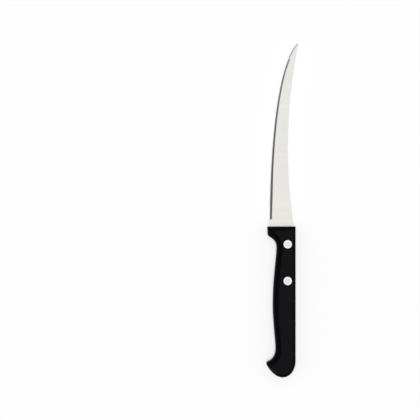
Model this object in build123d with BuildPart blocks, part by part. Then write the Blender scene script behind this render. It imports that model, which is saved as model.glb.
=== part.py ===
from build123d import *
from math import cos, floor, radians, sin, tan
import os

# A five inch tomato knife: a thin taper-ground blade with an upswept tip and a finely serrated edge,
# clamped at its hidden half tang between two moulded handle scales by two cutler's rivets.
# It lies on its right side: +Y towards the tip, +X towards the spine, +Z up, all in millimetres.

# Driving sizes of the blade, depths measured down from the handle's spine line
blade_length = 127.0
blade_thickness = 1.2
heel_depth = 18.1
spine_step = 1.16
tip_rise = 2.0
spine_hollow = 5.57

# Driving sizes of the grinding: thickness behind the bevel at the heel, and of the spine at the tip
edge_thickness = 0.65
tip_thickness = 0.7
bevel_degrees = 25.0
ricasso_length = 4.7
grind_loss = 0.45
edge_full_share = 0.626
edge_turn_share = 0.976
edge_rise_share = 0.425

# Driving sizes of the serrations
flute_pitch = 1.2
flute_depth = 0.33
tooth_land = 0.12
first_flute = 0.9
plain_tip = 13.5
tip_steps = 20

# Driving sizes of the half tang
tang_inset = 2.0
tang_width = 8.0
tang_margin = 8.3
tang_end_round = 2.5
root_length = 4.0
shoulder_slope = 3.5
shoulder_round = 2.0

# Driving sizes of the handle's side outline: places measured back from its front, rises from its butt
handle_length = 104.5
handle_thickness = 13.0
guard_drop = 1.47
guard_taper = 0.22
guard_length = 6.36
waist_depth = 13.2
waist_place = 14.6
belly_depth = 15.8
belly_place = 55.0
rear_waist_depth = 13.9
rear_waist_rise = 20.0
beak_depth = 20.2
beak_overhang = 1.0
beak_rise = 10.3
butt_depth = 8.9
butt_turn = 11.4
front_corner = 0.7

# Driving sizes of the rolled border, its width in the side view and its height across the handle
belly_roll = 4.0
spine_roll = 1.7
front_roll = 3.2
butt_roll = 1.9
roll_height = 4.0
roll_steps = 3

# Shares that shape the outline's curves between those sizes
guard_corner_share = 0.28
guard_face_share = 0.22
guard_across_share = 0.69
guard_along_share = 0.31
guard_round_share = 0.31
waist_front_share = 0.49
waist_rear_share = 0.19
belly_front_share = 0.52
belly_rear_share = 0.32
rear_waist_share = 0.15
neck_rear_share = 0.43
neck_across_share = 0.77
neck_along_share = 0.24
neck_round_share = 0.41
beak_face_share = 0.37
beak_across_share = 0.33
beak_along_share = 0.62
beak_round_share = 0.44
butt_lower_share = 0.38
butt_upper_share = 0.56
butt_side_share = 0.55

# Driving sizes of the rivets, and of the pegs that join the scales behind the tang
rivet_depth = 5.5
rivet_place = 12.3
rivet_spacing = 25.4
head_diameter = 6.0
head_height = 1.6
head_crown = 0.2
head_sink = 0.25
tube_diameter = 4.0
tube_stop = 0.3
pin_diameter = 2.6
pin_stop = 0.6
peg_diameter = 4.0
peg_height = 3.0
front_peg_depth = 7.5
front_peg_gap = 16.0
rear_peg_depth = 9.0
rear_peg_rise = 11.5

# Clearances, and the overrun of every cut
tang_clearance = 0.05
head_clearance = 0.05
pin_clearance = 0.02
hole_clearance = 0.1
peg_clearance = 0.1
overrun = 0.3

# The seam plane between the scales, with its origin where the handle's spine line meets its front
half_thickness = handle_thickness / 2
half_stock = blade_thickness / 2
spine_x = (beak_depth - tip_rise) / 2
front_y = (handle_length - blade_length) / 2
seam = Plane(origin=(spine_x, front_y, half_thickness))
up = seam.z_dir
bevel_angle = radians(bevel_degrees)

# The guard covers the heel, the tang ends behind the rear rivet, and the pegs stand behind the tang
guard_depth = heel_depth + guard_drop
rivet_spots = {
    "front": (-rivet_depth, -rivet_place),
    "rear": (-rivet_depth, -rivet_place - rivet_spacing),
}
tang_length = rivet_place + rivet_spacing + tang_margin
peg_spots = [
    (-front_peg_depth, -tang_length - front_peg_gap),
    (-rear_peg_depth, rear_peg_rise - handle_length),
]


# The blade's two faces taper from the full stock at the heel's spine to the edge and to the tip
def face_plane(side):
    spine_point = Vector(-spine_step, 0, side * half_stock)
    heel_point = Vector(grind_loss - heel_depth, ricasso_length, side * edge_thickness / 2)
    tip_point = Vector(tip_rise, blade_length, side * tip_thickness / 2)
    normal = (tip_point - spine_point).cross(heel_point - spine_point)
    height = spine_point.Z + normal.X * spine_point.X / normal.Z
    tilt = Location(Plane((0, 0, height), x_dir=(normal.Z, 0, -normal.X), z_dir=normal))
    return Plane(seam.location * tilt)


left_face = face_plane(1)
right_face = face_plane(-1)


# Control points of the cutting edge from the ricasso to the tip, for the stamped or the ground line
def edge_points(depth, tip_y):
    full_y = ricasso_length + edge_full_share * (tip_y - ricasso_length)
    turn_y = ricasso_length + edge_turn_share * (tip_y - ricasso_length)
    turn_x = tip_rise - edge_rise_share * (tip_rise + depth)
    return [(-depth, ricasso_length), (-depth, full_y), (turn_x, turn_y), (tip_rise, tip_y)]


# The stamped outline: hollow spine, convex edge side and straight heel
stamped = edge_points(heel_depth, blade_length + grind_loss)
with BuildSketch(seam) as blank_side:
    with BuildLine():
        SagittaArc((-spine_step, 0), stamped[-1], spine_hollow)
        Bezier(*stamped)
        Polyline(stamped[0], (-heel_depth, 0), (-spine_step, 0))
    make_face()

# The half tang: a root as deep as the blade, shoulders, and a straight tang with a rounded end
tang_edge = tang_inset + tang_width
with BuildSketch(seam) as tang_side:
    with BuildLine():
        Polyline(
            (-spine_step, 0),
            (-tang_inset, -root_length),
            (-tang_inset, -tang_length),
            (-tang_edge, -tang_length),
            (-tang_edge, -root_length - shoulder_slope),
            (-heel_depth, -root_length),
            (-heel_depth, 0),
            close=True,
        )
    make_face()
    corners = tang_side.vertices().group_by(Axis.Y)
    fillet(corners[0], radius=tang_end_round)
    fillet(corners[1], radius=shoulder_round)

# The line that the edge is ground to, drawn on the blade's flat right face
with BuildLine() as grinding_line:
    edge_curve = Bezier(*edge_points(heel_depth - grind_loss, blade_length))
serrated_length = edge_curve.length - plain_tip
flute_count = floor((serrated_length - first_flute) / flute_pitch) + 1
flute_places = [first_flute + i * flute_pitch for i in range(flute_count)]
tip_places = [serrated_length + i * plain_tip / tip_steps for i in range(1, tip_steps + 1)]

# The bevel is ground in short straight lengths that meet under the flutes, and runs out past the tip
grind_points = [edge_curve.position_at(s, PositionMode.LENGTH) for s in [0, *flute_places, *tip_places]]
grind_points.append(edge_curve @ 1 + (edge_curve % 1) * tip_rise)


# The polygon that the bevel's cutter clears at a height over the flat right face
def grind_polygon(height):
    inset = height / tan(bevel_angle)
    headings = [(b - a).normalized() for a, b in zip(grind_points, grind_points[1:])]
    corners = []
    for point, before, after in zip(grind_points, headings[:1] + headings, headings + headings[-1:]):
        inward = (before + after).normalized().rotate(Axis.Z, -90)
        corners.append(point + inward * (inset / inward.dot(before.rotate(Axis.Z, -90))))
    left = -heel_depth - overrun
    top = grind_points[-1].Y + overrun
    with BuildSketch(right_face.offset(height)) as polygon:
        with BuildLine():
            Polyline(*corners, (corners[-1].X, top), (left, top), (left, ricasso_length), close=True)
        make_face()
    return polygon.sketch


cut_height = max(edge_thickness, tip_thickness) + overrun

# Places of the flutes, each across the edge and tilted up along the bevel
flute_sagitta = flute_depth * sin(bevel_angle)
flute_chord = flute_pitch - tooth_land
flute_radius = (flute_chord**2 / 4 + flute_sagitta**2) / (2 * flute_sagitta)
flute_length = flute_depth + cut_height / sin(bevel_angle) + 2 * overrun
flute_planes = []
for place in flute_places:
    tangent = edge_curve.tangent_at(place, PositionMode.LENGTH)
    away = tangent.rotate(Axis.Z, 90)
    climb = Vector(0, 0, sin(bevel_angle)) - away * cos(bevel_angle)
    lift = Vector(0, 0, cos(bevel_angle)) + away * sin(bevel_angle)
    bottom = edge_curve.position_at(place, PositionMode.LENGTH) - away * flute_depth
    start = bottom + lift * flute_radius - climb * (flute_depth + overrun)
    flute_planes.append(right_face.location * Location(Plane(start, x_dir=tangent, z_dir=climb)))

# The blade: blanked, ground to a taper, bevelled, fluted, then joined with its drilled tang
with BuildPart() as blade:
    extrude(blank_side.sketch, amount=half_stock, both=True)
    split(bisect_by=left_face, keep=Keep.BOTTOM)
    split(bisect_by=right_face, keep=Keep.TOP)
    loft([grind_polygon(0), grind_polygon(cut_height)], ruled=True, mode=Mode.SUBTRACT)
    with Locations(*flute_planes):
        Cylinder(
            flute_radius,
            flute_length,
            align=(Align.CENTER, Align.CENTER, Align.MIN),
            mode=Mode.SUBTRACT,
        )
    extrude(tang_side.sketch, amount=half_stock, both=True)
    with BuildSketch(seam):
        with Locations(*rivet_spots.values()):
            Circle(tube_diameter / 2 + hole_clearance)
    extrude(amount=half_stock, both=True, mode=Mode.SUBTRACT)
blade.part.label = "blade"


# The handle's side outline, drawn in by its border: roll is 0 at the full outline, 1 at the flat side
def side_outline(height, roll):
    spine = -spine_roll * roll
    front = -front_roll * roll
    drawn = belly_roll * roll
    corner = Vector(drawn - guard_depth, front)
    waist = Vector(drawn - waist_depth, -waist_place)
    belly = Vector(drawn - belly_depth, -belly_place)
    rear_waist = Vector(drawn - rear_waist_depth, rear_waist_rise - handle_length)
    butt = Vector(-butt_depth, butt_roll * roll - handle_length)
    turn = Vector(spine, butt_turn - handle_length)

    # Sharp corners of the guard and the beak, which the curves beside them round off
    guard_draw = roll * (1 - guard_face_share) * (guard_length - front_roll)
    guard_tip = corner + Vector(guard_taper, guard_draw - front - guard_length)
    beak_draw = roll * beak_face_share * (beak_rise - butt_roll)
    beak_tip = Vector(drawn - beak_depth - beak_overhang, beak_rise - beak_draw - handle_length)

    # Curves that leave those corners towards the waists and the butt
    guard_span = waist - guard_tip
    guard_pull = Vector(guard_across_share * guard_span.X, guard_along_share * guard_span.Y)
    neck_span = rear_waist - beak_tip
    neck_pull = Vector(neck_across_share * neck_span.X, neck_along_share * neck_span.Y)
    butt_span = butt - beak_tip
    butt_pull = Vector(beak_across_share * butt_span.X, beak_along_share * butt_span.Y)
    guard_side = guard_tip + (corner - guard_tip) * guard_corner_share
    guard_front = corner + (guard_tip - corner) * (front_corner / guard_length)
    guard_rear = guard_tip + guard_pull * guard_round_share
    neck = beak_tip + neck_pull * neck_round_share
    beak_rear = beak_tip + butt_pull * beak_round_share

    with BuildSketch(seam.offset(height)) as outline:
        with BuildLine():
            Line((spine, front - front_corner), turn)
            butt_side = turn + Vector(0, butt_side_share * (butt.Y - turn.Y))
            butt_upper = butt + Vector(butt_upper_share * (turn.X - butt.X), 0)
            Bezier(turn, butt_side, butt_upper, butt)
            butt_lower = butt - Vector(butt_lower_share * butt_span.X, 0)
            Bezier(butt, butt_lower, beak_tip + butt_pull, beak_rear)
            Bezier(beak_rear, beak_tip, neck)
            neck_rear = rear_waist - Vector(0, neck_rear_share * neck_span.Y)
            Bezier(neck, beak_tip + neck_pull, neck_rear, rear_waist)
            rear_rise = rear_waist + Vector(0, rear_waist_share * (belly.Y - rear_waist.Y))
            belly_rear = belly - Vector(0, belly_rear_share * (belly.Y - rear_waist.Y))
            Bezier(rear_waist, rear_rise, belly_rear, belly)
            belly_front = belly + Vector(0, belly_front_share * (waist.Y - belly.Y))
            waist_rear = waist - Vector(0, waist_rear_share * (waist.Y - belly.Y))
            Bezier(belly, belly_front, waist_rear, waist)
            waist_front = waist - Vector(0, waist_front_share * guard_span.Y)
            Bezier(waist, waist_front, guard_tip + guard_pull, guard_rear)
            Bezier(guard_rear, guard_tip, guard_side)
            Line(guard_side, guard_front)
            Bezier(guard_front, corner, corner + Vector(front_corner, 0))
            Line(corner + Vector(front_corner, 0), (spine - front_corner, front))
            Bezier((spine - front_corner, front), (spine, front), (spine, front - front_corner))
        make_face()
    return outline.sketch


# One side of the handle: an upright rim at the seam, then a border rolled over to the flat side
rim_height = half_thickness - roll_height
roll_angles = [i * radians(90) / roll_steps for i in range(roll_steps + 1)]
roll_sections = [side_outline(rim_height + roll_height * sin(a), 1 - cos(a)) for a in roll_angles]
with BuildPart() as side_form:
    extrude(side_outline(0, 0), amount=rim_height)
    loft(roll_sections)

# The room that the scales leave for the tang, with a clearance round it and none on its flats
with BuildPart() as tang_room:
    with BuildSketch(seam):
        add(tang_side)
        offset(amount=tang_clearance)
    extrude(amount=half_stock, both=True)

# The rivets' bores through both scales, wider at each side for the heads
head_seat = half_thickness - head_sink - head_height
head_rim = head_seat + head_height
with BuildPart() as rivet_room:
    with BuildSketch(seam):
        with Locations(*rivet_spots.values()):
            Circle(tube_diameter / 2 + hole_clearance)
    extrude(amount=half_thickness, both=True)
    for direction in (1, -1):
        with BuildSketch(seam.offset(direction * head_seat)):
            with Locations(*rivet_spots.values()):
                Circle(head_diameter / 2 + head_clearance)
        extrude(amount=direction * half_thickness)

# The left scale, which the view shows, with the sockets for the other scale's pegs
with BuildPart() as left_scale:
    add(side_form)
    add(tang_room, mode=Mode.SUBTRACT)
    add(rivet_room, mode=Mode.SUBTRACT)
    with BuildSketch(seam):
        with Locations(*peg_spots):
            Circle(peg_diameter / 2 + peg_clearance)
    extrude(amount=peg_height + peg_clearance, mode=Mode.SUBTRACT)
left_scale.part.label = "handle_scale_left"

# The right scale, which the knife lies on, with its pegs
with BuildPart() as right_scale:
    mirror(side_form.part, about=seam)
    add(tang_room, mode=Mode.SUBTRACT)
    add(rivet_room, mode=Mode.SUBTRACT)
    with BuildSketch(seam):
        with Locations(*peg_spots):
            Circle(peg_diameter / 2)
    extrude(amount=peg_height)
right_scale.part.label = "handle_scale_right"


# Half the section of a rivet: a low-crowned head, and a shank that stops short of the other head
def rivet_outline(shank_diameter, stop):
    crown = Vector(0, head_rim + head_crown)
    Polyline(
        crown,
        (0, stop - head_seat),
        (shank_diameter / 2, stop - head_seat),
        (shank_diameter / 2, head_seat),
        (head_diameter / 2, head_seat),
        (head_diameter / 2, head_rim),
    )
    TangentArc(crown, (head_diameter / 2, head_rim), tangent=(1, 0))


# Each rivet: a pin half set from the left, pressed into a tube half set from the right
rivet_halves = []
for name, spot in rivet_spots.items():
    centre = seam.from_local_coords((*spot, 0))
    with BuildPart() as pin_half:
        with BuildSketch(Plane(centre, x_dir=(1, 0, 0), z_dir=(0, -1, 0))):
            with BuildLine():
                rivet_outline(pin_diameter, pin_stop)
            make_face()
        revolve(axis=Axis(centre, up))
    pin_half.part.label = f"rivet_{name}_pin"
    with BuildPart() as tube_half:
        with BuildSketch(Plane(centre, x_dir=(1, 0, 0), z_dir=(0, 1, 0))):
            with BuildLine():
                rivet_outline(tube_diameter, tube_stop)
            make_face()
        revolve(axis=Axis(centre, up))
        with BuildSketch(Plane(centre).offset(head_seat - tube_stop)):
            Circle(pin_diameter / 2 + pin_clearance)
        extrude(amount=tube_stop + pin_stop / 2 - 2 * head_seat, mode=Mode.SUBTRACT)
    tube_half.part.label = f"rivet_{name}_tube"
    rivet_halves += [pin_half, tube_half]

os.makedirs("parts", exist_ok=True)
for piece in (blade, left_scale, right_scale, *rivet_halves):
    export_step(piece.part, f"parts/{piece.part.label}.step")
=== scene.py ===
import bpy
import bmesh
import math
from bisect import bisect
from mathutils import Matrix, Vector


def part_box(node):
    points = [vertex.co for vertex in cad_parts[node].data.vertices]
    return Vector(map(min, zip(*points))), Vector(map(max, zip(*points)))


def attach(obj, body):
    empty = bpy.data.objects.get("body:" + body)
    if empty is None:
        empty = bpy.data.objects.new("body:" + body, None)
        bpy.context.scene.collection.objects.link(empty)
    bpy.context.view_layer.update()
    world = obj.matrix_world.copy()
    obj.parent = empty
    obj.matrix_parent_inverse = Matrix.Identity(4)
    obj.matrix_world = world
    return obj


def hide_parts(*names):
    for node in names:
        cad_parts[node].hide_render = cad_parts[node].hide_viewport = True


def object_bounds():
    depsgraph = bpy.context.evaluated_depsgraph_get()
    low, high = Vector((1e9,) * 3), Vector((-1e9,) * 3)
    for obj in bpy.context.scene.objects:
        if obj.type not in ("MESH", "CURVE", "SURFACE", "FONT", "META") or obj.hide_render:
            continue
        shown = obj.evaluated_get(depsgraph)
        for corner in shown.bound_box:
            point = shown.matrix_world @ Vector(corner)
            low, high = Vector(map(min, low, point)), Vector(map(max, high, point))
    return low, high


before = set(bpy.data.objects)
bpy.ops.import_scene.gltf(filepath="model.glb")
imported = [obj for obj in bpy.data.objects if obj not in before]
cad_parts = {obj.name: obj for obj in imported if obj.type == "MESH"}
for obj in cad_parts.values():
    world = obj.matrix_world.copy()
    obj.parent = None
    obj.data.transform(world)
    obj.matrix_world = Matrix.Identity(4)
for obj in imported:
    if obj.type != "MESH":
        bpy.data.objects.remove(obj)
cadLow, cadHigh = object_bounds()
mm = 0.001
scaleLow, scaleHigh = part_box("handle_scale_left")
seamCorner = Vector((scaleHigh.x, scaleHigh.y, scaleLow.z))  # on the spine line, at the front, in the seam
print("frame loaded,", len(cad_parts), "parts")


# The seam corner is the knife's own zero: across is minus towards the edge, along is plus towards the tip
def toFrame(across, along, height):
    return seamCorner + Vector((across, along, height)) * mm


def bezierRun(points, steps):
    # points of a Bezier curve from its start up to, but not on, its end
    run = []
    for i in range(steps):
        level = [Vector(p) for p in points]
        while len(level) > 1:
            level = [a.lerp(b, i / steps) for a, b in zip(level, level[1:])]
        run.append(level[0])
    return run


def joinRings(bm, ringA, ringB):
    # a band of faces between two rings; a ring of one point is a pole
    band = []
    for i in range(max(len(ringA), len(ringB))):
        a, nextA = ringA[i % len(ringA)], ringA[(i + 1) % len(ringA)]
        b, nextB = ringB[i % len(ringB)], ringB[(i + 1) % len(ringB)]
        corners = dict.fromkeys((a, nextA, nextB, b))  # a pole's corner counts once
        band.append(bm.faces.new(list(corners)))
    return band


def makePiece(name, bm, materials, replaced, creaseAngle, origin=None):
    # edges that turn by more than creaseAngle are creases, beside those that the maker has set
    bmesh.ops.recalc_face_normals(bm, faces=bm.faces)
    for edge in bm.edges:
        if edge.calc_face_angle(0) > math.radians(creaseAngle):
            edge.smooth = False
    mesh = bpy.data.meshes.new(name)
    bm.to_mesh(mesh)
    bm.free()
    mesh.polygons.foreach_set("use_smooth", [True] * len(mesh.polygons))
    for material in materials:
        mesh.materials.append(material)
    piece = bpy.data.objects.new(name, mesh)
    if origin is not None:
        piece.location = origin
    bpy.context.scene.collection.objects.link(piece)
    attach(piece, "root")
    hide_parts(replaced)
    return piece


# Small helpers for the materials, which add to a material's node tree
noiseSpan = (0.3, 0.7)  # nearly all of a noise lies between these
fullSpan = (0.0, 1.0)


def newMaterial(name, metallic):
    # place is where a point lies on its own object
    material = bpy.data.materials.new(name)
    material.use_nodes = True
    tree = material.node_tree
    shader = tree.nodes["Principled BSDF"]
    shader.inputs["Metallic"].default_value = metallic
    place = tree.nodes.new("ShaderNodeTexCoord").outputs["Object"]
    return material, tree, shader, place


def addNoise(tree, place, stretch, detail, roughness):
    # stretch is how many grains there are to the metre along X, Y and Z
    mapping = tree.nodes.new("ShaderNodeMapping")
    mapping.inputs["Scale"].default_value = stretch
    tree.links.new(place, mapping.inputs["Vector"])
    noise = tree.nodes.new("ShaderNodeTexNoise")
    noise.inputs["Scale"].default_value = 1.0
    noise.inputs["Detail"].default_value = detail
    noise.inputs["Roughness"].default_value = roughness
    tree.links.new(mapping.outputs["Vector"], noise.inputs["Vector"])
    return noise.outputs["Fac"]


def addRange(tree, value, source, target):
    # stretches the span called source over the span called target
    node = tree.nodes.new("ShaderNodeMapRange")
    node.inputs["From Min"].default_value = source[0]
    node.inputs["From Max"].default_value = source[1]
    node.inputs["To Min"].default_value = target[0]
    node.inputs["To Max"].default_value = target[1]
    tree.links.new(value, node.inputs["Value"])
    return node.outputs["Result"]


def addTint(tree, share, dark, light):
    # each of the two colours is a plain one or comes from another node
    mix = tree.nodes.new("ShaderNodeMix")
    mix.data_type = "RGBA"
    for socket, colour in ((mix.inputs["A"], dark), (mix.inputs["B"], light)):
        if isinstance(colour, tuple):
            socket.default_value = (*colour, 1)
        else:
            tree.links.new(colour, socket)
    tree.links.new(share, mix.inputs["Factor"])
    return mix.outputs["Result"]


def addBump(tree, height, strength, distance, under=None):
    bump = tree.nodes.new("ShaderNodeBump")
    bump.inputs["Strength"].default_value = strength
    bump.inputs["Distance"].default_value = distance
    tree.links.new(height, bump.inputs["Height"])
    if under is not None:
        tree.links.new(under, bump.inputs["Normal"])
    return bump.outputs["Normal"]


def addMath(tree, operation, first, second):
    # second is a plain number or comes from another node
    node = tree.nodes.new("ShaderNodeMath")
    node.operation = operation
    tree.links.new(first, node.inputs[0])
    if isinstance(second, float):
        node.inputs[1].default_value = second
    else:
        tree.links.new(second, node.inputs[1])
    return node.outputs["Value"]


# Blade: one stamping, taper ground on both sides, with a fluted bevel on the left side only
# Here and in the dictionaries of the handle and the rivets, sizes are in millimetres and angles in degrees
blade = {
    "length": 127.0,
    "thickness": 1.2,
    "heelDepth": 18.1,  # from the handle's spine line to the edge
    "ricasso": 4.7,  # unground length in front of the handle
    "spineStep": 1.16,  # how far in from the handle's spine line the blade's spine starts
    "spineHollow": 5.57,
    "spineEase": 0.1,
    "tipRise": 2.0,  # how far past that line it ends, at the tip
    "tipBlunt": 0.7,
    "tipThickness": 0.7,
    "edgeThickness": 0.65,  # at the heel, before the bevel is ground
    "edgeShares": (0.15, 0.841, 0.945),  # the edge curve's middle controls, as shares of its reach and rise
    "grindLoss": 0.25,  # what the grinding takes off the heel's edge
    "runOut": 0.25,  # over which the ricasso runs into the bevel
    "bevelAngle": 20.3,
    "bevelSteeper": 5.5,  # the bevel is steeper by this towards both ends of the flutes
    "bevelTurn": (15.0, 35.0),  # over these lengths, at the heel and towards the tip
    "flutePitch": 1.2,
    "fluteDepth": 0.33,
    "firstFlute": 0.9,
    "toothLand": 0.12,  # left flat between two flutes
    "plainTip": 12.1,  # length of edge without flutes
    "tipBevelWidth": 0.8,
    "breakLength": 0.5,  # between the last flute and the tip's own bevel
    "breakWidth": 0.25,
    "leastSlant": 0.1,  # these two keep the last sections sound, where edge and spine meet
    "leastWall": 0.02,
    "walkSteps": 4000,
    "fluteSteps": 6,
    "tipSteps": 48,
    "mergeWithin": 0.002,
    "dissolveWithin": 0.001,
    "creaseAngle": 14,
    # the half tang inside the handle: along, edge side and spine side of its sections
    "tangSections": [
        (-0.02, -18.1, -1.16),
        (-4.0, -18.1, -2.0),
        (-5.6, -14.2, -2.0),
        (-7.2, -10.5, -2.0),
        (-9.4, -10.0, -2.0),
        (-43.5, -10.0, -2.0),
        (-45.3, -9.3, -2.7),
        (-46.0, -7.5, -4.5),
    ],
    # the finishes: satin faces, the bevel as ground on the wheel, and the honed bevel of the tip; the ground
    # bevel's darker colours are painted shade, standing in for the shade in its flutes
    "satinColour": (0.85, 0.84, 0.80),
    "satinShade": (0.82, 0.81, 0.77),
    "satinRoughness": (0.22, 0.30),
    "groundShadedColour": (0.42, 0.42, 0.415),
    "groundShadedShade": (0.272, 0.272, 0.267),
    "groundShadedRoughness": (0.24, 0.36),
    "honedColour": (0.80, 0.80, 0.79),
    "honedShade": (0.66, 0.66, 0.65),
    "honedRoughness": (0.36, 0.46),
    "lighterSpan": (75.0, 135.0),  # over this span the bevel's painted shade gives way to the honed colour, so the bevel gets lighter towards the tip
    # noises: grains to the metre along X, Y and Z, detail, roughness
    "fineLines": ((140, 7200, 400), 3.0, 0.6),
    "broadLines": ((60, 900, 200), 4.0, 0.65),
    "cloud": ((35, 28, 35), 3.0, 0.5),
    "wheelLines": ((1500, 9000, 1500), 2.0, 0.6),
    "wheelPatches": ((300, 900, 300), 2.0, 0.5),
    "wheelSpan": (0.35, 0.65),
    # bumps: strength, and depth in metres
    "fineBump": (0.50, 0.000008),
    "broadBump": (0.14, 0.00002),
    "wheelBump": (0.4, 0.00001),
}


def makeSatinSteel():
    # fine grinding lines over broad ones, all of them across the blade
    material, tree, shader, place = newMaterial("satinSteel", 1.0)
    fineLines = addNoise(tree, place, *blade["fineLines"])
    broadLines = addNoise(tree, place, *blade["broadLines"])
    cloud = addNoise(tree, place, *blade["cloud"])
    share = addRange(tree, broadLines, noiseSpan, fullSpan)
    colour = addTint(tree, share, blade["satinShade"], blade["satinColour"])
    roughness = addRange(tree, cloud, noiseSpan, blade["satinRoughness"])
    broadBump = addBump(tree, broadLines, *blade["broadBump"])
    fineBump = addBump(tree, fineLines, *blade["fineBump"], broadBump)
    tree.links.new(colour, shader.inputs["Base Color"])
    tree.links.new(roughness, shader.inputs["Roughness"])
    tree.links.new(fineBump, shader.inputs["Normal"])
    return material


def makeGroundSteel(finish):
    # finish picks the colours of either the fluted bevel off the wheel, darkened with painted shade for its
    # flutes, or the plain honed bevel at the tip
    material, tree, shader, place = newMaterial(finish + "Edge", 1.0)
    wheelLines = addNoise(tree, place, *blade["wheelLines"])
    patches = addNoise(tree, place, *blade["wheelPatches"])
    share = addRange(tree, wheelLines, blade["wheelSpan"], fullSpan)
    tint = addTint(tree, share, blade[finish + "Shade"], blade[finish + "Colour"])
    parts = tree.nodes.new("ShaderNodeSeparateXYZ")
    tree.links.new(place, parts.inputs["Vector"])
    # towards the tip the fluted bevel's painted shade gives way to the honed colour
    lighterSpan = [toFrame(0, along, 0).y for along in blade["lighterSpan"]]
    lighter = addRange(tree, parts.outputs["Y"], lighterSpan, fullSpan)
    colour = addTint(tree, lighter, tint, blade["honedColour"])
    roughness = addRange(tree, patches, noiseSpan, blade[finish + "Roughness"])
    wheelBump = addBump(tree, wheelLines, *blade["wheelBump"])
    tree.links.new(colour, shader.inputs["Base Color"])
    tree.links.new(roughness, shader.inputs["Roughness"])
    tree.links.new(wheelBump, shader.inputs["Normal"])
    return material


def leftFace():
    # a plane through the heel's spine, the edge behind the heel, and the tip; the right face mirrors it
    half = blade["thickness"] / 2
    depth = blade["heelDepth"] - blade["grindLoss"]
    spinePoint = Vector((-blade["spineStep"], 0, half))
    heelPoint = Vector((-depth, blade["ricasso"], blade["edgeThickness"] / 2))
    tipPoint = Vector((blade["tipRise"], blade["length"], blade["tipThickness"] / 2))
    normal = (tipPoint - spinePoint).cross(heelPoint - spinePoint)

    def faceHeight(point):
        away = point - spinePoint
        return half - (normal.x * away.x + normal.y * away.y) / normal.z

    return faceHeight


def spineLine():
    # a shallow hollow arc
    start = Vector((-blade["spineStep"], 0))
    end = Vector((blade["tipRise"], blade["length"] + blade["grindLoss"]))
    chord = end - start
    hollow = blade["spineHollow"]
    radius = (chord.length_squared / 4 + hollow ** 2) / (2 * hollow)
    middle = (start + end) / 2 + Vector((chord.y, -chord.x)).normalized() * (radius - hollow)

    def spineAcross(along):
        return middle.x - math.sqrt(radius ** 2 - (along - middle.y) ** 2)

    return spineAcross


def edgeLine():
    # the ground edge, walked by its length; it stops short of the spine, so the tip is a little blunt
    depth = blade["heelDepth"] - blade["grindLoss"]
    reach = blade["length"] - blade["ricasso"]
    tipAcross = blade["tipRise"] - blade["tipBlunt"]
    fullShare, turnShare, riseShare = blade["edgeShares"]
    controls = [
        (-depth, blade["ricasso"]),
        (-depth, blade["ricasso"] + fullShare * reach),
        (tipAcross - riseShare * (tipAcross + depth), blade["ricasso"] + turnShare * reach),
        (tipAcross, blade["length"]),
    ]
    walk = bezierRun(controls, blade["walkSteps"]) + [Vector(controls[-1])]
    lengths = [0.0]
    for a, b in zip(walk, walk[1:]):
        lengths.append(lengths[-1] + (b - a).length)

    def onEdge(distance):
        # the point at that length of edge, and which way the edge heads there
        after = min(bisect(lengths, distance), len(lengths) - 1)
        before = after - 1
        part = (distance - lengths[before]) / (lengths[after] - lengths[before])
        return walk[before].lerp(walk[after], part), (walk[after] - walk[before]).normalized()

    return onEdge, lengths[-1]


def edgeStations(serrated, edgeLength):
    # the lengths of edge that get a section, each with how deep a flute is there
    sinBevel = math.sin(math.radians(blade["bevelAngle"]))
    chord = blade["flutePitch"] - blade["toothLand"]
    sagitta = blade["fluteDepth"] * sinBevel
    radius = (chord ** 2 / 4 + sagitta ** 2) / (2 * sagitta)
    stations = [(blade["runOut"], 0.0)]
    flutes = math.floor((serrated - blade["firstFlute"]) / blade["flutePitch"]) + 1
    for i in range(flutes):
        for k in range(blade["fluteSteps"] + 1):
            offset = chord * (k / blade["fluteSteps"] - 0.5)
            cut = math.sqrt(radius ** 2 - offset ** 2) - (radius - sagitta)
            stations.append((blade["firstFlute"] + i * blade["flutePitch"] + offset, cut / sinBevel))
    for i in range(blade["tipSteps"]):
        stations.append((serrated + (edgeLength - serrated) * (i + 0.5) / blade["tipSteps"], 0.0))
    return sorted(stations)


def bevelClimb(distance, serrated, slant, low):
    # how much the bevel climbs for each millimetre in from the edge, whose height is low
    if distance > serrated:  # narrower on the plain tip, after a short break where it nearly runs out
        inBreak = distance < serrated + blade["breakLength"]
        return -2 * low * slant / blade["breakWidth" if inBreak else "tipBevelWidth"]
    heelTurn, tipTurn = blade["bevelTurn"]
    turned = max(0, 1 - distance / heelTurn, 1 - (serrated - distance) / tipTurn)
    return math.tan(math.radians(blade["bevelAngle"] + turned * blade["bevelSteeper"])) * slant


def plainSection(along, edgeSide, spineSide, thin, thick):
    # thin and thick are half the thickness at the edge side and at the spine
    ease = blade["spineEase"]
    return [
        (edgeSide, along, -thin),
        (edgeSide, along, thin),
        (spineSide - ease, along, thick),
        (spineSide, along, thick - ease),
        (spineSide, along, ease - thick),
        (spineSide - ease, along, -thick),
    ]


def bevelledSection(point, spine, inward, distance, serrated, faceHeight):
    # runs edge, bevel's top, left flat, spine's wall, right flat; the spine's ease narrows into the tip
    span = spine - point
    across = span.normalized()
    inset = min(blade["spineEase"], span.length / 3)
    room = span.length - inset
    slant = max(across.dot(inward), blade["leastSlant"])
    low = -faceHeight(point.to_3d())
    climb = bevelClimb(distance, serrated, slant, low)
    rise = faceHeight((point + across).to_3d()) + low  # the left face climbs too, away from the edge
    toFace = min(-2 * low / (climb - rise), room)
    top = point + across * toFace
    topHeight = min(low + toFace * climb, faceHeight(top.to_3d()))
    thick = faceHeight(spine.to_3d())
    brow = min(thick, topHeight) if toFace >= room else thick
    wallTop = max(brow - inset, blade["leastWall"] - thick)
    wallFoot = min(inset / 2, (wallTop + thick) / 2) - thick
    eased = spine - across * inset
    return [
        (point.x, point.y, low),
        (top.x, top.y, topHeight),
        (eased.x, eased.y, brow),
        (spine.x, spine.y, wallTop),
        (spine.x, spine.y, wallFoot),
        (eased.x, eased.y, -thick),
    ]


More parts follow.
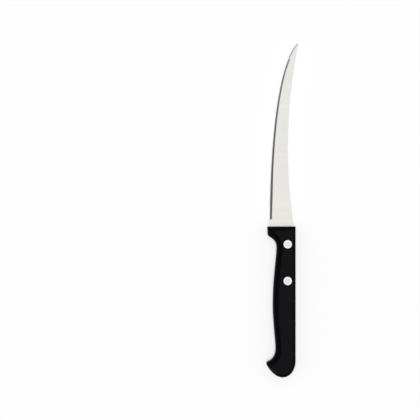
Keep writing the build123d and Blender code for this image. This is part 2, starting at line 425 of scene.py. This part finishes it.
def makeBlade():
    faceHeight = leftFace()
    spineAcross = spineLine()
    onEdge, edgeLength = edgeLine()
    serrated = edgeLength - blade["plainTip"]
    stations = edgeStations(serrated, edgeLength)

    # sections from the tang's end, over the ricasso, to the tip
    half = blade["thickness"] / 2
    sections = []
    for along, edgeSide, spineSide in reversed(blade["tangSections"]):
        sections.append(plainSection(along, edgeSide, spineSide, half, half))
    for along in (0.0, blade["ricasso"] / 2, blade["ricasso"] - blade["runOut"] / 2):
        edgeSide, spineSide = -blade["heelDepth"], spineAcross(along)
        thin = faceHeight(Vector((edgeSide, along, 0)))
        thick = faceHeight(Vector((spineSide, along, 0)))
        sections.append(plainSection(along, edgeSide, spineSide, thin, thick))
    firstBevel = len(sections)
    reach = blade["length"] - blade["ricasso"]
    for distance, cut in stations:
        point, heading = onEdge(distance)
        inward = Vector((heading.y, -heading.x))
        along = blade["ricasso"] + reach * distance / edgeLength
        spine = Vector((spineAcross(along), along))
        sections.append(bevelledSection(point + inward * cut, spine, inward, distance, serrated, faceHeight))

    bm = bmesh.new()
    rows = [[bm.verts.new(toFrame(*corner)) for corner in section] for section in sections]
    for i, (rowA, rowB) in enumerate(zip(rows, rows[1:])):
        band = joinRings(bm, rowA, rowB)
        station = i + 1 - firstBevel
        if station >= 0:
            band[0].material_index = 2 if stations[station][0] > serrated else 1
    bm.faces.new(rows[0])
    bm.faces.new(reversed(rows[-1]))
    bmesh.ops.remove_doubles(bm, verts=bm.verts, dist=blade["mergeWithin"] * mm)
    bmesh.ops.dissolve_degenerate(bm, dist=blade["dissolveWithin"] * mm, edges=bm.edges)
    finishes = [makeSatinSteel(), makeGroundSteel("groundShaded"), makeGroundSteel("honed")]
    return makePiece("bladeSteel", bm, finishes, "blade", blade["creaseAngle"])


# Handle: two moulded scales with a rolled border, a finger guard, two waists and a hooked butt
handle = {
    "length": 104.5,
    "halfThickness": 6.5,
    "guardDepth": 19.57,
    "guardTaper": 0.22,
    "guardLength": 6.36,
    # depth, and how far behind the handle's front
    "waist": (13.2, 14.6),
    "belly": (15.8, 55.0),
    "rearWaist": (13.9, 84.5),
    "beak": (21.2, 94.2),
    "buttDepth": 8.9,
    "buttTurn": 11.4,  # the spine side begins to turn this far before the butt's end
    "frontCorner": 0.7,
    # the rolled border: its width and its depth on each side, and its profile in shares of them
    "rolls": {"belly": 4.0, "spine": 1.7, "front": 3.2, "butt": 1.9},
    "rollDepths": {"belly": 3.2, "spine": 1.6, "front": 2.6, "butt": 1.7},
    "rollProfile": ((0, 1), (0, 0.62), (0.55, 0.2), (1, 0)),
    # how much of the guard's and the beak's length the border takes
    "guardDraw": 0.78,
    "beakDraw": 0.37,
    # controls of the outline's curves, as shares of the spans that they bend
    "guardPull": (0.69, 0.31),
    "neckPull": (0.77, 0.24),
    "buttPull": (0.33, 0.62),
    "guardNose": (0.28, 0.31),
    "beakNose": (0.41, 0.44),
    "buttCurve": {"side": 0.55, "upper": 0.56, "lower": 0.38},
    "gripCurve": {
        "neckRear": 0.43,
        "rearRise": 0.15,
        "bellyRear": 0.32,
        "bellyFront": 0.52,
        "waistRear": 0.19,
        "waistFront": 0.49,
    },
    # the groove along the seam: its height, and its depth as a share of the border's width
    "seamEase": 0.12,
    "seamRoll": 0.04,
    "steps": {"roll": 14, "long": 36, "curve": 18, "nose": 9, "corner": 6, "flank": 4},
    "creaseAngle": 32,
    "plasticColour": (0.0016, 0.0015, 0.0024),
    "plasticShade": (0.0008, 0.0008, 0.0012),
    "plasticRoughness": (0.20, 0.27),
    "plasticShine": 0.105,
    "plasticShineTint": (0.86, 0.82, 1.0),
    # noises and bumps, as for the blade
    "grain": ((3600, 3600, 3600), 2.0, 0.6),  # fine spark-eroded mould grain
    "pores": ((1300, 1300, 1300), 3.0, 0.55),
    "flow": ((90, 22, 90), 3.0, 0.5),  # long soft patches where the plastic flowed
    "grainBump": (0.24, 0.000015),
    "poreBump": (0.20, 0.00003),
}


def makeMouldedBlack():
    material, tree, shader, place = newMaterial("mouldedBlack", 0.0)
    grain = addNoise(tree, place, *handle["grain"])
    pores = addNoise(tree, place, *handle["pores"])
    flow = addNoise(tree, place, *handle["flow"])
    share = addRange(tree, flow, noiseSpan, fullSpan)
    colour = addTint(tree, share, handle["plasticShade"], handle["plasticColour"])
    roughness = addRange(tree, pores, noiseSpan, handle["plasticRoughness"])
    poreBump = addBump(tree, pores, *handle["poreBump"])
    grainBump = addBump(tree, grain, *handle["grainBump"], poreBump)
    tree.links.new(colour, shader.inputs["Base Color"])
    tree.links.new(roughness, shader.inputs["Roughness"])
    tree.links.new(grainBump, shader.inputs["Normal"])
    shader.inputs["Specular IOR Level"].default_value = handle["plasticShine"]
    shader.inputs["Specular Tint"].default_value = (*handle["plasticShineTint"], 1)
    return material


def handleOutline(roll):
    # the side outline, drawn in by the border's width times roll: 0 at the rim, 1 at the flat side
    # each point carries as its height how deep the border's roll is there
    rolls = handle["rolls"]
    deep = handle["rollDepths"]
    length = handle["length"]
    nose = handle["frontCorner"]
    spine = -rolls["spine"] * roll
    front = -rolls["front"] * roll
    drawn = rolls["belly"] * roll
    corner = Vector((drawn - handle["guardDepth"], front, deep["front"]))
    waist = Vector((drawn - handle["waist"][0], -handle["waist"][1], deep["belly"]))
    belly = Vector((drawn - handle["belly"][0], -handle["belly"][1], deep["belly"]))
    rearWaist = Vector((drawn - handle["rearWaist"][0], -handle["rearWaist"][1], deep["belly"]))
    butt = Vector((-handle["buttDepth"], rolls["butt"] * roll - length, deep["butt"]))
    turn = Vector((spine, handle["buttTurn"] - length, deep["spine"]))
    guardDraw = roll * handle["guardDraw"] * (handle["guardLength"] - rolls["front"])
    guardTip = Vector((corner.x + handle["guardTaper"], guardDraw - handle["guardLength"], deep["belly"]))
    beakDraw = roll * handle["beakDraw"] * (length - rolls["butt"] - handle["beak"][1])
    beakTip = Vector((drawn - handle["beak"][0], -handle["beak"][1] - beakDraw, deep["belly"]))
    guardSpan = waist - guardTip
    neckSpan = rearWaist - beakTip
    buttSpan = butt - beakTip
    gripSpan = belly - rearWaist
    foreSpan = waist - belly

    def pull(start, span, shares):
        return start + Vector((shares[0] * span.x, shares[1] * span.y, 0))

    guardPull = pull(guardTip, guardSpan, handle["guardPull"])
    neckPull = pull(beakTip, neckSpan, handle["neckPull"])
    buttPull = pull(beakTip, buttSpan, handle["buttPull"])
    guardSide = guardTip.lerp(corner, handle["guardNose"][0])
    guardRear = guardTip.lerp(guardPull, handle["guardNose"][1])
    guardFront = corner.lerp(guardTip, nose / handle["guardLength"])
    neck = beakTip.lerp(neckPull, handle["beakNose"][0])
    beakRear = beakTip.lerp(buttPull, handle["beakNose"][1])
    buttSide = pull(turn, butt - turn, (0, handle["buttCurve"]["side"]))
    buttUpper = pull(butt, turn - butt, (handle["buttCurve"]["upper"], 0))
    buttLower = pull(butt, -buttSpan, (handle["buttCurve"]["lower"], 0))
    grip = handle["gripCurve"]
    neckRear = pull(rearWaist, -neckSpan, (0, grip["neckRear"]))
    rearRise = pull(rearWaist, gripSpan, (0, grip["rearRise"]))
    bellyRear = pull(belly, -gripSpan, (0, grip["bellyRear"]))
    bellyFront = pull(belly, foreSpan, (0, grip["bellyFront"]))
    waistRear = pull(waist, -foreSpan, (0, grip["waistRear"]))
    waistFront = pull(waist, -guardSpan, (0, grip["waistFront"]))
    noseEdge = corner + Vector((nose, 0, 0))
    noseSpine = Vector((spine - nose, front, deep["spine"]))
    spineCorner = Vector((spine, front, deep["spine"]))
    spineFront = Vector((spine, front - nose, deep["spine"]))
    # back along the spine, round the butt and the beak, forward along the grip, and round the guard
    runs = [
        ([spineFront, turn], "long"),
        ([turn, buttSide, buttUpper, butt], "curve"),
        ([butt, buttLower, buttPull, beakRear], "curve"),
        ([beakRear, beakTip, neck], "curve"),
        ([neck, neckPull, neckRear, rearWaist], "curve"),
        ([rearWaist, rearRise, bellyRear, belly], "curve"),
        ([belly, bellyFront, waistRear, waist], "long"),
        ([waist, waistFront, guardPull, guardRear], "curve"),
        ([guardRear, guardTip, guardSide], "nose"),
        ([guardSide, guardFront], "flank"),
        ([guardFront, corner, noseEdge], "corner"),
        ([noseEdge, noseSpine], "curve"),
        ([noseSpine, spineCorner, spineFront], "corner"),
    ]
    return [point for controls, kind in runs for point in bezierRun(controls, handle["steps"][kind])]


def addRing(bm, points, height):
    return [bm.verts.new(toFrame(p.x, p.y, height)) for p in points]


def addRollRing(bm, side, roll, sink):
    # one line round the border: drawn in by roll, and under the flat side by sink, a share of the depth
    points = handleOutline(roll)
    return [bm.verts.new(toFrame(p.x, p.y, side * (handle["halfThickness"] - p.z * sink))) for p in points]


def circlePoints(centre, radius, sides):
    turns = [2 * math.pi * i / sides for i in range(sides)]
    return [Vector((centre[0] + radius * math.cos(t), centre[1] + radius * math.sin(t))) for t in turns]


def fillRings(bm, rings):
    # a flat side inside the first ring, with the others as its holes
    edges = []
    for ring in rings:
        for i, corner in enumerate(ring):
            ends = (ring[i - 1], corner)
            edges.append(bm.edges.get(ends) or bm.edges.new(ends))
    bmesh.ops.triangle_fill(bm, use_beauty=True, use_dissolve=False, edges=edges, normal=(0, 0, 1))


def makeScale(name, side, replaced, material):
    # side is 1 for the left scale, over the seam, and -1 for the right one
    halfThickness = handle["halfThickness"]
    wallMiddle = (halfThickness - handle["rollDepths"]["belly"]) / 2
    levels = [(0.0, handle["seamRoll"]), (handle["seamEase"], 0.0), (wallMiddle, 0.0)]  # height, roll
    bm = bmesh.new()
    rings = [addRing(bm, handleOutline(roll), side * height) for height, roll in levels]
    profile = bezierRun(handle["rollProfile"], handle["steps"]["roll"]) + [handle["rollProfile"][-1]]
    rings += [addRollRing(bm, side, roll, sink) for roll, sink in profile]
    for ringA, ringB in zip(rings, rings[1:]):
        joinRings(bm, ringA, ringB)
    for i, corner in enumerate(rings[-1]):  # the border meets the flat side in a crease
        bm.edges.get((rings[-1][i - 1], corner)).smooth = False

    # the heads' seats, with a softened mouth
    seatRadius = rivets["headRadius"] + rivets["headRoom"]
    seatFloor = halfThickness - rivets["headSink"] - rivets["headHeight"]
    ease = rivets["mouthEase"]
    seatLevels = [(halfThickness, ease), (halfThickness - ease, 0.0), (seatFloor, 0.0)]
    mouths = []
    for spot in rivets["spots"].values():
        seatRings = [
            addRing(bm, circlePoints(spot, seatRadius + wider, rivets["sides"]), side * height)
            for height, wider in seatLevels
        ]
        for ringA, ringB in zip(seatRings, seatRings[1:]):
            joinRings(bm, ringA, ringB)
        bm.faces.new(seatRings[-1])
        mouths.append(seatRings[0])
    fillRings(bm, [rings[-1], *mouths])
    fillRings(bm, [rings[0]])
    return makePiece(name, bm, [material], replaced, handle["creaseAngle"])


# Rivets: a solid pin half set from the left into a tube half set from the right
rivets = {
    "spots": {"Front": (-5.5, -12.3), "Rear": (-5.5, -37.7)},  # across and along of each axis
    "headRadius": 3.0,
    "headHeight": 1.6,
    "headSink": 0.25,  # the head's rim lies this far under the flat side
    "headCrown": 0.2,
    "headEase": 0.14,
    "headRoom": 0.05,
    "mouthEase": 0.08,
    "tubeRadius": 2.0,
    "tubeStop": 0.3,  # the tube ends this far short of the other head's seat
    "boreFloor": 0.6,  # its bore ends this far from its own seat
    "pinRadius": 1.3,
    "pinRoom": 0.02,
    "pinStop": 0.6,  # the pin ends this far short of the other head's seat
    "sides": 64,
    "crownSteps": 8,
    "easeSteps": 4,
    "creaseAngle": 34,
    "metalColour": (0.86, 0.86, 0.87),
    "metalShade": (0.76, 0.76, 0.78),
    "metalRoughness": (0.22, 0.34),
    "rimSpan": (1.7, 2.3),  # the rim's painted highlight and its smoother finish come in between these distances from the axis
    "rimHighlightColour": (0.95, 0.95, 0.955),
    "rimRoughness": 0.12,
    # noise and bump, as for the blade
    "dust": ((900, 900, 900), 3.0, 0.5),
    "turnedRings": {"Scale": 700.0, "Distortion": 1.2, "Detail": 2.0},
    "turnedBump": (0.18, 0.000006),
}


def makeSatinAluminium():
    material, tree, shader, place = newMaterial("satinAluminium", 1.0)
    turned = tree.nodes.new("ShaderNodeTexWave")
    turned.wave_type = "RINGS"
    turned.rings_direction = "Z"
    for setting, number in rivets["turnedRings"].items():
        turned.inputs[setting].default_value = number
    tree.links.new(place, turned.inputs["Vector"])
    turnedBump = addBump(tree, turned.outputs["Fac"], *rivets["turnedBump"])
    dust = addNoise(tree, place, *rivets["dust"])
    middleColour = addTint(tree, dust, rivets["metalShade"], rivets["metalColour"])
    middleRoughness = addRange(tree, dust, noiseSpan, rivets["metalRoughness"])
    # the rim is smoother, and its brighter colour is a painted highlight
    flat = tree.nodes.new("ShaderNodeMapping")
    flat.inputs["Scale"].default_value = (1, 1, 0)
    tree.links.new(place, flat.inputs["Vector"])
    away = tree.nodes.new("ShaderNodeVectorMath")
    away.operation = "LENGTH"
    tree.links.new(flat.outputs["Vector"], away.inputs[0])
    rim = addRange(tree, away.outputs["Value"], [distance * mm for distance in rivets["rimSpan"]], fullSpan)
    colour = addTint(tree, rim, middleColour, rivets["rimHighlightColour"])
    roughness = tree.nodes.new("ShaderNodeMix")
    tree.links.new(rim, roughness.inputs["Factor"])
    tree.links.new(middleRoughness, roughness.inputs["A"])
    roughness.inputs["B"].default_value = rivets["rimRoughness"]
    tree.links.new(colour, shader.inputs["Base Color"])
    tree.links.new(roughness.outputs["Result"], shader.inputs["Roughness"])
    tree.links.new(turnedBump, shader.inputs["Normal"])
    return material


def rivetProfile(shankRadius, boreRadius, stop):
    # radius and height over the seam, from the crown's middle to the end of the shank or of its bore
    ease = rivets["headEase"]
    headRadius = rivets["headRadius"]
    seat = handle["halfThickness"] - rivets["headSink"] - rivets["headHeight"]
    rimHeight = seat + rivets["headHeight"]
    profile = []
    for i in range(rivets["crownSteps"] + 1):  # low crown from the middle out
        share = i / rivets["crownSteps"] * (1 - ease / headRadius)
        profile.append((headRadius * share, rimHeight + rivets["headCrown"] * (1 - share ** 2)))
    for i in range(1, rivets["easeSteps"] + 1):  # rounded edge of the head
        angle = math.radians(90 / rivets["easeSteps"] * i)
        around, up = ease * math.sin(angle), ease * math.cos(angle)
        profile.append((headRadius - ease + around, rimHeight - ease + up))
    profile += [(headRadius, seat), (shankRadius, seat), (shankRadius, stop - seat)]
    if boreRadius:
        boreEnd = seat - rivets["boreFloor"]
        profile += [(boreRadius, stop - seat), (boreRadius, boreEnd), (0.0, boreEnd)]
    else:
        profile.append((0.0, stop - seat))
    return profile


def makeRivetHalf(name, spot, side, profile, replaced, material):
    # turned about the rivet's own axis, with the head at the side that it is set from
    bm = bmesh.new()
    rings = []
    for radius, height in profile:
        circle = circlePoints((0, 0), radius, rivets["sides"] if radius else 1)
        rings.append([bm.verts.new((p.x * mm, p.y * mm, side * height * mm)) for p in circle])
    for ringA, ringB in zip(rings, rings[1:]):
        joinRings(bm, ringA, ringB)
    axis = toFrame(spot[0], spot[1], 0)
    return makePiece(name, bm, [material], replaced, rivets["creaseAngle"], axis)


# Studio, in metres: plain pale floor, a soft bright ceiling, a dim room round it and one lamp overhead
studio = {
    "floorSize": 6.0,
    "floorParts": 12,
    "floorColour": (0.50, 0.50, 0.50),
    "floorGlow": 0.50,
    # how bright the room is, from the horizon, at 0, to straight up, at 1
    "roomLevels": [
        (0.0, 1.0),
        (0.09, 1.0),
        (0.16, 0.42),
        (0.30, 0.42),
        (0.48, 0.24),
        (0.74, 0.24),
        (0.93, 1.0),
    ],
    "lampStrength": 1.5,
    "lampWidth": 14.0,  # degrees across, which sets how soft the shadow is
    "lampHeight": 1.2,
}


def makeFloor():
    bm = bmesh.new()
    parts = studio["floorParts"]
    bmesh.ops.create_grid(bm, x_segments=parts, y_segments=parts, size=studio["floorSize"] / 2)
    mesh = bpy.data.meshes.new("floor")
    bm.to_mesh(mesh)
    bm.free()
    floor = bpy.data.objects.new("floor", mesh)
    floor.location = (0, 0, cadLow.z)
    bpy.context.scene.collection.objects.link(floor)
    material = bpy.data.materials.new("paleFloor")
    material.use_nodes = True
    tree = material.node_tree
    tree.nodes.clear()
    diffuse = tree.nodes.new("ShaderNodeBsdfDiffuse")
    diffuse.inputs["Color"].default_value = (*studio["floorColour"], 1)
    # the floor's own glow is seen directly and in reflections, and lights nothing
    path = tree.nodes.new("ShaderNodeLightPath")
    seen = addMath(tree, "MAXIMUM", path.outputs["Is Camera Ray"], path.outputs["Is Glossy Ray"])
    seen = addMath(tree, "MAXIMUM", seen, path.outputs["Is Transmission Ray"])
    glow = tree.nodes.new("ShaderNodeEmission")
    tree.links.new(addMath(tree, "MULTIPLY", seen, studio["floorGlow"]), glow.inputs["Strength"])
    both = tree.nodes.new("ShaderNodeAddShader")
    tree.links.new(diffuse.outputs["BSDF"], both.inputs[0])
    tree.links.new(glow.outputs["Emission"], both.inputs[1])
    output = tree.nodes.new("ShaderNodeOutputMaterial")
    tree.links.new(both.outputs["Shader"], output.inputs["Surface"])
    mesh.materials.append(material)


def makeRoom():
    world = bpy.data.worlds.new("room")
    bpy.context.scene.world = world
    world.use_nodes = True
    tree = world.node_tree
    background = tree.nodes["Background"]
    direction = tree.nodes.new("ShaderNodeTexCoord").outputs["Generated"]
    parts = tree.nodes.new("ShaderNodeSeparateXYZ")
    tree.links.new(direction, parts.inputs["Vector"])
    ramp = tree.nodes.new("ShaderNodeValToRGB")
    tree.links.new(parts.outputs["Z"], ramp.inputs["Fac"])
    ramp.color_ramp.interpolation = "EASE"
    stops = ramp.color_ramp.elements
    while len(stops) < len(studio["roomLevels"]):
        stops.new(0.5)
    for stop, (position, level) in zip(stops, studio["roomLevels"]):
        stop.position = position
        stop.color = (level, level, level, 1)
    tree.links.new(ramp.outputs["Color"], background.inputs["Color"])


def makeOverheadLamp():
    # straight down, so the shadow stays under the knife, and left out of reflections
    lamp = bpy.data.lights.new("overheadLamp", "SUN")
    lamp.energy = studio["lampStrength"]
    lamp.angle = math.radians(studio["lampWidth"])
    overhead = bpy.data.objects.new("overheadLamp", lamp)
    overhead.location = (0.0, 0.0, studio["lampHeight"])
    overhead.visible_glossy = False
    bpy.context.scene.collection.objects.link(overhead)


# Camera: straight above, with the knife where the photograph has it, right of the middle
# The lens is in millimetres and the rest in metres
camera = {
    "frameWidth": 0.2915,
    "focalLength": 200.0,
    "sensorWidth": 36.0,
    "knifeRight": 0.05012,  # of the frame's middle
    "knifeUp": -0.00018,
    "clipStart": 0.05,
    "clipEnd": 20.0,
}


def makeCamera():
    lens = bpy.data.cameras.new("camera")
    lens.lens = camera["focalLength"]
    lens.sensor_width = camera["sensorWidth"]
    lens.clip_start = camera["clipStart"]
    lens.clip_end = camera["clipEnd"]
    viewer = bpy.data.objects.new("camera", lens)
    middle = (cadLow + cadHigh) / 2
    distance = camera["frameWidth"] * camera["focalLength"] / camera["sensorWidth"]
    viewer.location = (middle.x - camera["knifeRight"], middle.y - camera["knifeUp"], middle.z + distance)
    viewer.rotation_euler = (0, 0, 0)  # straight down
    bpy.context.scene.collection.objects.link(viewer)
    bpy.context.scene.camera = viewer


makeBlade()
print("blade made")

mouldedBlack = makeMouldedBlack()
makeScale("scaleLeft", 1, "handle_scale_left", mouldedBlack)
makeScale("scaleRight", -1, "handle_scale_right", mouldedBlack)
print("handle scales made")

satinAluminium = makeSatinAluminium()
pinProfile = rivetProfile(rivets["pinRadius"], 0, rivets["pinStop"])
tubeProfile = rivetProfile(rivets["tubeRadius"], rivets["pinRadius"] + rivets["pinRoom"], rivets["tubeStop"])
for end, spot in rivets["spots"].items():
    node = "rivet_" + end.lower()
    makeRivetHalf("rivet" + end + "Pin", spot, 1, pinProfile, node + "_pin", satinAluminium)
    makeRivetHalf("rivet" + end + "Tube", spot, -1, tubeProfile, node + "_tube", satinAluminium)
print("rivets made")

makeFloor()
makeRoom()
makeOverheadLamp()
print("studio made")

makeCamera()
bpy.context.scene.view_settings.view_transform = "Standard"
print("camera placed")
